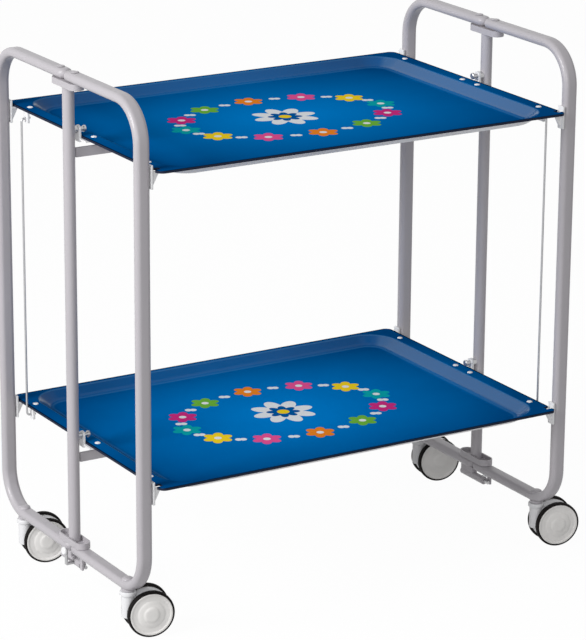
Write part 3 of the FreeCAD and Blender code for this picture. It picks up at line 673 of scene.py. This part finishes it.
def half_loop(side, end, node, sizes):
    """One half of a side frame: a swept flat-oval tube with two rounded ends."""
    low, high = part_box(node)
    x = MID_X + side * POST_X
    top_z = high.z - sizes.tube_depth / 2
    low_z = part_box("rear_left_frame")[0].z + sizes.tube_depth / 2
    leg_y = max(abs(low.y), abs(high.y)) - sizes.tube_depth / 2
    start_y = sizes.seam + sizes.tube_width / 2
    outline = oval_outline(sizes.tube_width, sizes.tube_depth)
    work = bmesh.new()
    rings = []
    stations = loop_stations(end, start_y, leg_y, top_z, low_z, sizes.bend_radius, 16)
    for (y, z), (out_y, out_z) in stations:
        rings.append(ring_of(work, [Vector((x + a, y + b * out_y, z + b * out_z)) for a, b in outline]))
    skin(work, rings)
    for ring, z, up in ((rings[0], top_z, 1), (rings[-1], low_z, -1)):
        skin(work, [ring] + nose_rings(work, outline, x, end, start_y, z, up))
    bmesh.ops.remove_doubles(work, verts=work.verts, dist=WELD)
    return work


# How far a latch keeper runs into the rail above it
KEEPER_SINK = 0.001


class CART_OT_side_frames(bpy.types.Operator):
    """Build the four halves of the looped side frames"""

    bl_idname = "cart.side_frames"
    bl_label = "Side frames"

    def execute(self, context):
        sizes = context.scene.cart_frame_sizes
        for prefix, side, end in corners():
            node = prefix + "_frame"
            body = prefix + "_half"
            piece(prefix + "_tube", half_loop(side, end, node, sizes), "frame_paint", body, [node], crease=50)
            if end < 0:
                piece(prefix + "_latch_keeper", self.keeper(side, node, sizes), "frame_paint", body)
        return {"FINISHED"}

    def keeper(self, side, node, sizes):
        """The tab under a front half that the latch's bolt holds."""
        near = POST_X + sizes.keeper_inset
        far = near + sizes.keeper_thick
        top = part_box("rear_left_frame")[0].z + KEEPER_SINK
        first = (MID_X + side * near, -sizes.keeper_front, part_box(node)[0].z)
        return block(first, (MID_X + side * far, -sizes.keeper_rear, top), sizes.edge)


# Outlines that are turned round an axis: a radius, and a distance along the axis
DOME_SHARES = ((1.0, 0.0), (1.0, 0.5), (0.9, 0.9), (0.6, 1.0), (0.0, 1.0))
PIN_TAIL_SHARE = 0.9
PIVOT_SHOULDER = 0.005
PIVOT_OUTLINE = (
    (0, 0), (0.0036, 0), (0.0043, 0.0005), (0.0045, 0.0012), (0.0045, 0.003), (0.00295, 0.003),
    (0.00295, 0.0124), (0.0047, 0.0124), (PIVOT_SHOULDER, 0.0128), (PIVOT_SHOULDER, 0.0178), (0, 0.0178),
)


class CART_OT_posts(bpy.types.Operator):
    """Build the centre posts, their hinge brackets and all pivot pins"""

    bl_idname = "cart.posts"
    bl_label = "Posts and hinges"

    def execute(self, context):
        sizes = context.scene.cart_frame_sizes
        for side_name in SIDES:
            post = side_name + "_post"
            half = half_size(post)
            tall = 2 * half.z
            edge = sizes.edge
            outline = [(0, 0), (half.y - edge, 0), (half.y, edge), (half.y, tall), (0, tall)]
            foot = middle_of(post) - UP * half.z
            name = side_name + "_round_post"
            turned_piece(name, outline, foot, UP, 56, "frame_paint", "frame_core", [post])
            node = side_name + "_hinge_brackets"
            soft_piece(side_name + "_channels", node, edge, "frame_paint", "frame_core")
        self.hinge_pins(sizes)
        self.tray_pivots(sizes)
        return {"FINISHED"}

    def hinge_pins(self, sizes):
        """Eight upright pins that hold the halves: four at the top and four at the foot."""
        low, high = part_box("hinge_pins")
        head = sizes.pin_head
        rise = sizes.pin_head_height
        radius = sizes.pin_radius
        tail = -sizes.top_pin
        foot = sizes.foot_pin
        dome = [(head * wide, rise * tall) for wide, tall in DOME_SHARES]
        top_outline = [(0, tail - rise), (head * PIN_TAIL_SHARE, tail - rise), (head, tail - rise / 2)]
        top_outline += [(head, tail), (radius, tail), (radius, 0)] + dome
        foot_outline = [(0, 0), (radius, 0), (radius, foot)] + [(wide, foot + tall) for wide, tall in dome]
        work = bmesh.new()
        for _, side, end in corners():
            at = Vector((MID_X + side * POST_X, end * (half_size("hinge_pins").y - head), 0))
            turn_profile(work, top_outline, at + UP * (high.z - rise), UP, 32)
            turn_profile(work, foot_outline, at + UP * low.z, UP, 32)
        piece("hinge_rivets", work, "frame_paint", "frame_core", ["hinge_pins"])

    def tray_pivots(self, sizes):
        """Four level pins with a shoulder, which the trays tip on."""
        low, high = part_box("tray_pivot_pins")
        work = bmesh.new()
        for side in SIDES.values():
            for z in (high.z - PIVOT_SHOULDER, low.z + PIVOT_SHOULDER):
                start = Vector((MID_X + side * sizes.pivot_head, 0, z))
                turn_profile(work, PIVOT_OUTLINE, start, Vector((side, 0, 0)), 36)
        piece("tray_pivots", work, "pin_steel", "frame_core", ["tray_pivot_pins"])


# Trays

OUTLINE_ROUNDING = 0.0012
FLAT_BEFORE_DISH = 0.0025
MOUTH_BEND = 0.0035
FOOT_BEND = 0.008
FLAT_AFTER_DISH = 0.009
LEAST_CORNER = 0.004


def quarter(x, y, radius, start, steps):
    """Points of a quarter turn round a corner's centre."""
    spots = arc(start, start + 90, steps)
    return [Vector((x + radius * math.cos(a), y + radius * math.sin(a))) for a in spots]


def rounded_rectangle(half_x, half_y, radius, steps=14, straight=10):
    """Points round a rectangle with round corners, the same number whatever its size."""
    filled = []
    turns = []
    for sx, sy, start in ((1, -1, -90), (1, 1, 0), (-1, 1, 90), (-1, -1, 180)):
        turns.append(quarter(sx * (half_x - radius), sy * (half_y - radius), radius, start, steps))
    for turn, following in zip(turns, turns[1:] + turns[:1]):
        filled += turn
        filled += [turn[-1].lerp(following[0], part / straight) for part in range(1, straight)]
    return filled


def slotted_outline(half_x, half_y, sizes):
    """The tray's outer edge, with a slot at each front corner."""
    radius = sizes.corner
    corner_x = half_x - radius
    corner_y = half_y - radius
    slot_x = half_x - sizes.slot_depth
    places = [(half_x, -corner_y), (half_x, -sizes.slot_front), (slot_x, -sizes.slot_front)]
    places += [(slot_x, -sizes.slot_rear), (half_x, -sizes.slot_rear), (half_x, corner_y)]
    side = [Vector(place) for place in places]
    points = quarter(corner_x, -corner_y, radius, -90, 8)
    for before, here, after in zip(side, side[1:], side[2:]):
        back = (before - here).normalized() * OUTLINE_ROUNDING
        ahead = (after - here).normalized() * OUTLINE_ROUNDING
        points += curve(here + back, here, here + ahead, 3)
    points += quarter(corner_x, corner_y, radius, 0, 8)
    return points + [Vector((-point.x, point.y)) for point in reversed(points)]


def dish_profile(depth, slope):
    """The wall's line from rim to floor: how far in, and how far down."""
    corner = Vector((0.0, 0.0))
    foot = Vector((slope, -depth))
    wall = foot.normalized()
    points = curve(Vector((-FLAT_BEFORE_DISH, 0.0)), corner, wall * MOUTH_BEND, 5)
    return points + curve(foot - wall * FOOT_BEND, foot, Vector((slope + FLAT_AFTER_DISH, -depth)), 8)


def dish_rings(work, sizes, half, rim, thick):
    """Rings down the wall of the dish, offset by the sheet's thickness for its underside."""
    profile = dish_profile(sizes.dish_depth, sizes.dish_slope)
    rings = []
    for index, spot in enumerate(profile):
        run = (profile[min(index + 1, len(profile) - 1)] - profile[max(index - 1, 0)]).normalized()
        inset = spot.x + run.y * thick
        z = rim + spot.y - run.x * thick
        mouth_x = half.x - sizes.short_rim - inset
        mouth_y = half.y - sizes.long_rim - inset
        radius = max(sizes.dish_corner - inset, LEAST_CORNER)
        outline = rounded_rectangle(mouth_x, mouth_y, radius)
        rings.append(ring_of(work, [Vector((MID_X + p.x, p.y, z)) for p in outline]))
    return rings


def tray_mesh(name, sizes):
    """A dished sheet: its printed face, its underside and the cut edge between them."""
    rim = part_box(name + "_tray")[1].z
    half = half_size(name + "_tray")
    outline = slotted_outline(half.x, half.y, sizes)
    work = bmesh.new()
    shells = []
    for face_index, thick in ((0, 0.0), (1, sizes.sheet)):
        before = set(work.faces)
        rings = dish_rings(work, sizes, half, rim, thick)
        skin(work, rings)
        work.faces.new(rings[-1])
        edge = ring_of(work, [Vector((MID_X + p.x, p.y, rim - thick)) for p in outline])
        loops = []
        for ring in (edge, rings[0]):
            for pair in zip(ring, ring[1:] + ring[:1]):
                loops.append(work.edges.get(pair) or work.edges.new(pair))
        bmesh.ops.triangle_fill(work, edges=loops, use_beauty=True)
        for face in set(work.faces) - before:
            face.material_index = face_index
        shells.append(edge)
    for wall in bridge(work, *shells):
        wall.material_index = 2
    return work


class CART_OT_trays(bpy.types.Operator):
    """Build the two dished trays with their printed faces and white backs"""

    bl_idname = "cart.trays"
    bl_label = "Trays"

    def execute(self, context):
        for name in TRAY_NAMES:
            work = tray_mesh(name, context.scene.cart_tray_sizes)
            more = ("tray_back", "tray_edge")
            body = name + "_tray_set"
            piece(name + "_dished_tray", work, "tray_finish", body, [name + "_tray"], more, crease=40)
        return {"FINISHED"}


RIVET_OUTLINE = (
    (0, 0), (0.004, 0), (0.0039, 0.0004), (0.0034, 0.0009), (0.0024, 0.00125), (0.0012, 0.0014), (0, 0.0014),
)


class CART_OT_tray_fittings(bpy.types.Operator):
    """Build the carrier bars, ears, wire lugs and rivets of the trays"""

    bl_idname = "cart.tray_fittings"
    bl_label = "Tray fittings"

    def execute(self, context):
        edge = context.scene.cart_frame_sizes.edge
        sizes = context.scene.cart_tray_sizes
        for name in TRAY_NAMES:
            body = name + "_tray_set"
            node = name + "_tray_carrier"
            piece(name + "_carrier_bar", block(*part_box(node), edge), "carrier_paint", body, [node])
            soft_piece(name + "_ears_and_lugs", name + "_tray_brackets", edge, "white_paint", body)
            node = name + "_tray_rivets"
            piece(name + "_rivet_heads", self.rivets(node, sizes), "white_paint", body, [node])
        return {"FINISHED"}

    def rivets(self, node, sizes):
        low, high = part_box(node)
        far_y = high.y - sizes.rivet_radius
        far_x = half_size(node).x - sizes.rivet_radius
        work = bmesh.new()
        for side in SIDES.values():
            for y in (-far_y, -sizes.rivet_near, sizes.rivet_near, far_y):
                turn_profile(work, RIVET_OUTLINE, Vector((MID_X + side * far_x, y, low.z)), UP, 28)
        return work


# Link wires, clips and latches

WIRE_BEND = 0.0045
CLIP_EDGE = 0.0008
GUIDE_EDGE = 0.0004
BOLT_EDGE = 0.0003
KNOB_FOOT_SHARE = 0.72
KNOB_FACE_SHARE = 0.86
KNOB_HOLLOW_SHARE = 0.93
KNOB_BACK_BEVEL = 0.0012
KNOB_FACE_BEVEL = 0.0018
KNOB_ROUNDING = 0.0010


def sweep_round(work, points, radius, steps=16):
    """A round wire along a chain of points that all lie in one upright plane square to Y."""
    side = Vector((0, 1, 0))
    rings = []
    for index, point in enumerate(points):
        run = points[min(index + 1, len(points) - 1)] - points[max(index - 1, 0)]
        rings.append(circle(work, point, side, run.normalized().cross(side).normalized(), radius, steps))
    skin(work, rings, closed=True)


class CART_OT_link_wires(bpy.types.Operator):
    """Build the two bent wires that join the trays"""

    bl_idname = "cart.link_wires"
    bl_label = "Link wires"

    def execute(self, context):
        for side_name, side in SIDES.items():
            node = side_name + "_link_wire"
            low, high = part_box(node)
            radius = half_size(node).y
            y = middle_of(node).y
            tip, outer = sorted((side * low.x, side * high.x))
            ends = (high.z - radius, low.z + radius)
            stations = loop_stations(side, tip, outer - radius, *ends, WIRE_BEND, 8)
            work = bmesh.new()
            sweep_round(work, [Vector((x, y, z)) for (x, z), _ in stations], radius)
            piece(side_name + "_bent_wire", work, "wire_steel", side_name + "_wire", [node])
        return {"FINISHED"}


class CART_OT_tray_clips(bpy.types.Operator):
    """Build the moulded clips on the legs that the trays come to rest on"""

    bl_idname = "cart.tray_clips"
    bl_label = "Tray clips"

    def execute(self, context):
        for prefix, _, _ in corners():
            node = prefix + "_tray_clips"
            soft_piece(prefix + "_moulded_clips", node, CLIP_EDGE, "clip_plastic", prefix + "_half")
        return {"FINISHED"}


class CART_OT_latches(bpy.types.Operator):
    """Build the latch under each side frame: sleeve, bolt and knob"""

    bl_idname = "cart.latches"
    bl_label = "Latches"

    def execute(self, context):
        for side_name, side in SIDES.items():
            latch = side_name + "_latch"
            rear = "rear_" + side_name + "_half"
            soft_piece(latch + "_sleeve", latch + "_guide", GUIDE_EDGE, "frame_paint", rear)
            soft_piece(latch + "_rod", latch + "_bolt", BOLT_EDGE, "pin_steel", latch)
            self.knob(side_name + "_round_knob", latch, side)
        return {"FINISHED"}

    def knob(self, name, body, side):
        """A turned knob with a slightly hollow face, on the outer side of the frame."""
        node = body + "_knob"
        half = half_size(node)
        radius = half.z
        thick = 2 * half.x
        outline = [
            (0, 0), (radius * KNOB_FOOT_SHARE, 0), (radius, KNOB_BACK_BEVEL),
            (radius, thick - KNOB_FACE_BEVEL), (radius * KNOB_FACE_SHARE, thick),
            (0, thick * KNOB_HOLLOW_SHARE),
        ]
        outline = round_profile(outline, KNOB_ROUNDING)
        out = Vector((side, 0, 0))
        back = middle_of(node) - out * half.x
        turned_piece(name, outline, back, out, 40, "clip_plastic", body, [node], crease=60)


# Casters, as outlines of a radius and a distance along the axis unless a line says otherwise

# How far a hood's outline is drawn in, at a distance across the hood
HOOD_EDGES = (
    (0.0030, -0.0085), (0.0009, -0.0078), (0.0, -0.0062),
    (0.0, 0.0062), (0.0009, 0.0078), (0.0030, 0.0085),
)
BOSS_FOOT_Z = 0.026
BOSS_OUTLINE = ((0, 0), (0.0078, 0), (0.009, 0.0012), (0.009, 0.029), (0.0098, 0.0305), (0.011, 0.0318))
BOSS_TOP = ((0.011, -0.0008), (0.0102, 0), (0, 0))
SPACER_OUTLINE = ((0, -0.0093), (0.006, -0.0093), (0.006, 0.0093), (0, 0.0093))
AXLE_OUTLINE = (
    (0, -0.0168), (0.0026, -0.0168), (0.003, -0.0162), (0.003, 0.0162), (0.0026, 0.0168), (0, 0.0168),
)
STEM_OUTLINE = (
    (0, 0), (0.0036, 0), (0.004, 0.0005), (0.004, 0.027), (0.0082, 0.027), (0.009, 0.0278), (0.009, 0.0305),
    (0.0075, 0.0315), (0.004, 0.0315),
)
# These are measured down from the top of the stem's cap
STEM_CAP = (
    (0.004, -0.0055), (0.008, -0.0055), (0.008, -0.0032), (0.0074, -0.0018),
    (0.0056, -0.0006), (0.003, 0), (0, 0),
)
# A hub's back from the wheel's inner face, its rim from the tyre and the outer face, and its face
HUB_BACK = ((0.00305, 0), (0.008, 0), (0.008, 0.0011))
HUB_RECESS = 0.0011
HUB_RIM = ((0, -0.0003), (-0.0006, 0), (-0.0022, 0), (-0.0038, -0.0009))
HUB_FACE = (
    (0.0190, -0.0009), (0.0172, -0.0001), (0.0145, 0.0004), (0.0112, 0.0009),
    (0.0092, 0.0020), (0.0070, 0.0023), (0, 0.0024),
)
TYRE_SHOULDER_DROP = 0.0016
TYRE_SHOULDER_WIDTH = 0.0018
HUB_ROUNDING = 0.0011
TYRE_ROUNDING = 0.0012


def moved(outline, radius, along):
    """An outline shifted outward and along its axis."""
    return [(wide + radius, far + along) for wide, far in outline]


def caster_axes():
    """The rolling direction and the axle's direction, read from one axle's place beside its stem."""
    roll = middle_of("front_left_caster_axle") - middle_of("front_left_caster_stem")
    roll = Vector((roll.x, roll.y, 0)).normalized()
    return roll, Vector((-roll.y, roll.x, 0))


def hood_mesh(node, roll, axle, stem, hub, radius):
    """The caster's hood: a rounded fender between the wheels and a column round the stem."""
    low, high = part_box(node)
    work = bmesh.new()
    start = math.degrees(math.asin((low.z - hub.z) / radius))
    outline = [(radius * math.cos(a), radius * math.sin(a)) for a in arc(start, 180 - start, 32)]
    rings = []
    for inset, across in HOOD_EDGES:
        share = 1 - inset / radius
        points = [hub + (roll * a + UP * b) * share + axle * across for a, b in outline]
        rings.append(ring_of(work, points))
    skin(work, rings, closed=True)
    column = list(BOSS_OUTLINE) + moved(BOSS_TOP, 0, high.z - BOSS_FOOT_Z)
    turn_profile(work, column, Vector((stem.x, stem.y, BOSS_FOOT_Z)), UP, 40)
    turn_profile(work, SPACER_OUTLINE, hub, axle, 28)
    return work


class CART_OT_casters(bpy.types.Operator):
    """Build the casters: stem, hood, axle, and two wheels with hub and tyre"""

    bl_idname = "cart.casters"
    bl_label = "Casters"

    def execute(self, context):
        sizes = context.scene.cart_caster_sizes
        roll, axle = caster_axes()
        for prefix, _, _ in corners():
            caster = prefix + "_caster"
            stem = middle_of(caster + "_stem")
            hub = middle_of(caster + "_axle")
            node = caster + "_housing"
            hood = hood_mesh(node, roll, axle, stem, hub, sizes.hood_radius)
            piece(caster + "_hood", hood, "housing_plastic", caster, [node], crease=45)
            node = caster + "_axle"
            turned_piece(prefix + "_wheel_axle", AXLE_OUTLINE, hub, axle, 24, "pin_steel", caster, [node])
            self.stem(prefix, caster + "_stem")
            for face_name, face in (("outer", -1), ("inner", 1)):
                self.wheel(prefix + "_" + face_name, hub, axle * face, sizes)
        return {"FINISHED"}

    def stem(self, prefix, node):
        """The stem's pin, the collar under the rail and the domed cap on top of it."""
        half = half_size(node)
        outline = list(STEM_OUTLINE) + moved(STEM_CAP, 0, 2 * half.z)
        foot = middle_of(node) - UP * half.z
        turned_piece(prefix + "_stem", outline, foot, UP, 36, "frame_paint", prefix + "_half", [node])

    def wheel(self, name, hub, out, sizes):
        """A wheel: a pale hub with a shallow dish and a raised middle, inside a black tyre."""
        full = sizes.wheel_radius
        rim = full - sizes.tyre
        inner = sizes.wheel_inner
        outer = inner + sizes.wheel_width
        outline = moved(HUB_BACK, 0, inner) + [(rim, inner + HUB_RECESS)]
        outline += moved(HUB_RIM, rim, outer) + moved(HUB_FACE, 0, outer)
        outline = round_profile(outline, HUB_ROUNDING, 3)
        body = name + "_wheel"
        turned_piece(body + "_hub", outline, hub, out, 64, "hub_plastic", body, [name + "_hub"], crease=55)
        shoulder = full - TYRE_SHOULDER_DROP
        outline = [
            (rim, inner), (shoulder, inner), (full, inner + TYRE_SHOULDER_WIDTH),
            (full, outer - TYRE_SHOULDER_WIDTH), (shoulder, outer), (rim, outer), (rim, inner),
        ]
        outline = round_profile(outline, TYRE_ROUNDING)
        turned_piece(body + "_tyre", outline, hub, out, 72, "tyre_rubber", body, [name + "_tyre"], crease=55)


# Stage

WHITE = (1.0, 1.0, 1.0, 1.0)
FLOOR_PALE = (0.55, 0.55, 0.555, 1.0)
FLOOR_GLOW = 0.97
FLOOR_REACH = 14.0
KEY_PLACE = (-3.8, -0.4, 2.4)
KEY_WIDTH = 2.0
FILL_PLACE = (-2.6, -3.9, 1.9)
FILL_WIDTH = 2.4
LAMP_AIM = (0, 0, 0.35)
SENSOR_WIDTH = 36.0
PHOTO_HEIGHT = 640
VIEW_REACH = 60


def white_to_the_eye(tree, shown, lit):
    """Camera, mirror and glass rays see one shader, and all the others are lit by another."""
    seen = tree.node("ShaderNodeLightPath", output="Is Camera Ray")
    rays = seen.socket.node.outputs
    for name in ("Is Glossy Ray", "Is Transmission Ray"):
        seen = seen.maths("MAXIMUM", Signal(tree, rays[name]))
    return tree.node("ShaderNodeMixShader", inputs={0: seen, 1: lit, 2: shown})


class CART_OT_stage(bpy.types.Operator):
    """Set the floor, the studio light, the white surround and the camera"""

    bl_idname = "cart.stage"
    bl_label = "Stage"

    def execute(self, context):
        settings = context.scene.cart_stage
        self.floor()
        self.surround(context.scene, settings.sky)
        self.lamp("key_lamp", KEY_PLACE, KEY_WIDTH, settings.key_power)
        self.lamp("fill_lamp", FILL_PLACE, FILL_WIDTH, settings.fill_power)
        self.camera(context.scene, settings)
        context.scene.view_settings.view_transform = "Standard"
        return {"FINISHED"}

    def floor(self):
        """A pale floor that is white to the eye, but for a trace of shadow."""
        mesh = bpy.data.meshes.new("floor")
        signs = ((-1, -1), (1, -1), (1, 1), (-1, 1))
        mesh.from_pydata([(x * FLOOR_REACH, y * FLOOR_REACH, 0) for x, y in signs], [], [(0, 1, 2, 3)])
        floor = bpy.data.objects.new("floor", mesh)
        bpy.context.scene.collection.objects.link(floor)
        material = bpy.data.materials.new("studio_floor")
        tree = Tree(material)
        pale = tree.node("ShaderNodeBsdfDiffuse", inputs={"Color": FLOOR_PALE})
        shaded = tree.node("ShaderNodeBsdfDiffuse", inputs={"Color": WHITE})
        glow = tree.node("ShaderNodeEmission", inputs={"Color": WHITE})
        seen = tree.node("ShaderNodeMixShader", inputs={0: FLOOR_GLOW, 1: shaded, 2: glow})
        tree.node("ShaderNodeOutputMaterial", inputs={"Surface": white_to_the_eye(tree, seen, pale)})
        mesh.materials.append(material)

    def surround(self, scene, strength):
        world = bpy.data.worlds.new("studio_surround")
        scene.world = world
        tree = Tree(world)
        soft = tree.node("ShaderNodeBackground", inputs={0: WHITE, 1: strength})
        white = tree.node("ShaderNodeBackground", inputs={0: WHITE, 1: 1.0})
        tree.node("ShaderNodeOutputWorld", inputs={0: white_to_the_eye(tree, white, soft)})

    def lamp(self, name, place, size, power):
        data = bpy.data.lights.new(name, "AREA")
        data.shape = "DISK"
        data.size = size
        data.energy = power
        lamp = bpy.data.objects.new(name, data)
        lamp.location = place
        aim = Vector(LAMP_AIM) - Vector(place)
        lamp.rotation_euler = aim.to_track_quat("-Z", "Y").to_euler()
        bpy.context.scene.collection.objects.link(lamp)

    def camera(self, scene, settings):
        """The photograph's own viewpoint: its heading, downward angle, roll and focal length."""
        data = bpy.data.cameras.new("photo_view")
        data.sensor_width = SENSOR_WIDTH
        data.lens = settings.focal * SENSOR_WIDTH / PHOTO_HEIGHT
        data.clip_end = VIEW_REACH
        camera = bpy.data.objects.new("photo_view", data)
        scene.collection.objects.link(camera)
        heading = Matrix.Rotation(-settings.turn, 4, "Z")
        tilt = Matrix.Rotation(math.pi / 2 - settings.tip, 4, "X")
        roll = Matrix.Rotation(settings.roll, 4, "Z")
        camera.matrix_world = Matrix.Translation(settings.eye) @ heading @ tilt @ roll
        scene.camera = camera


class CART_PT_panel(bpy.types.Panel):
    """Lists the pieces of the cart"""

    bl_label = "Kitchen Cart"
    bl_space_type = "VIEW_3D"
    bl_region_type = "UI"
    bl_category = "Kitchen Cart"

    def draw(self, context):
        for operator in OPERATORS:
            self.layout.operator(operator.bl_idname)
        for group in SETTINGS:
            box = self.layout.box()
            settings = getattr(context.scene, group)
            for key in settings.__annotations__:
                box.prop(settings, key, text=key.replace("_", " ").capitalize())


OPERATORS = (
    CART_OT_side_frames,
    CART_OT_posts,
    CART_OT_trays,
    CART_OT_tray_fittings,
    CART_OT_link_wires,
    CART_OT_tray_clips,
    CART_OT_latches,
    CART_OT_casters,
    CART_OT_stage,
)
SETTINGS = {
    "cart_frame_sizes": CartFrameSizes,
    "cart_tray_sizes": CartTraySizes,
    "cart_caster_sizes": CartCasterSizes,
    "cart_colours": CartColours,
    "cart_stage": CartStage,
}


def register():
    for key, group in SETTINGS.items():
        bpy.utils.register_class(group)
        setattr(bpy.types.Scene, key, PointerProperty(type=group))
    for operator in OPERATORS:
        bpy.utils.register_class(operator)
    bpy.utils.register_class(CART_PT_panel)


def unregister():
    bpy.utils.unregister_class(CART_PT_panel)
    for operator in reversed(OPERATORS):
        bpy.utils.unregister_class(operator)
    for key, group in SETTINGS.items():
        delattr(bpy.types.Scene, key)
        bpy.utils.unregister_class(group)


def main():
    register()
    bpy.ops.cart.side_frames()
    bpy.ops.cart.posts()
    bpy.ops.cart.trays()
    bpy.ops.cart.tray_fittings()
    bpy.ops.cart.link_wires()
    bpy.ops.cart.tray_clips()
    bpy.ops.cart.latches()
    bpy.ops.cart.casters()
    bpy.ops.cart.stage()


if __name__ == "__main__":
    main()
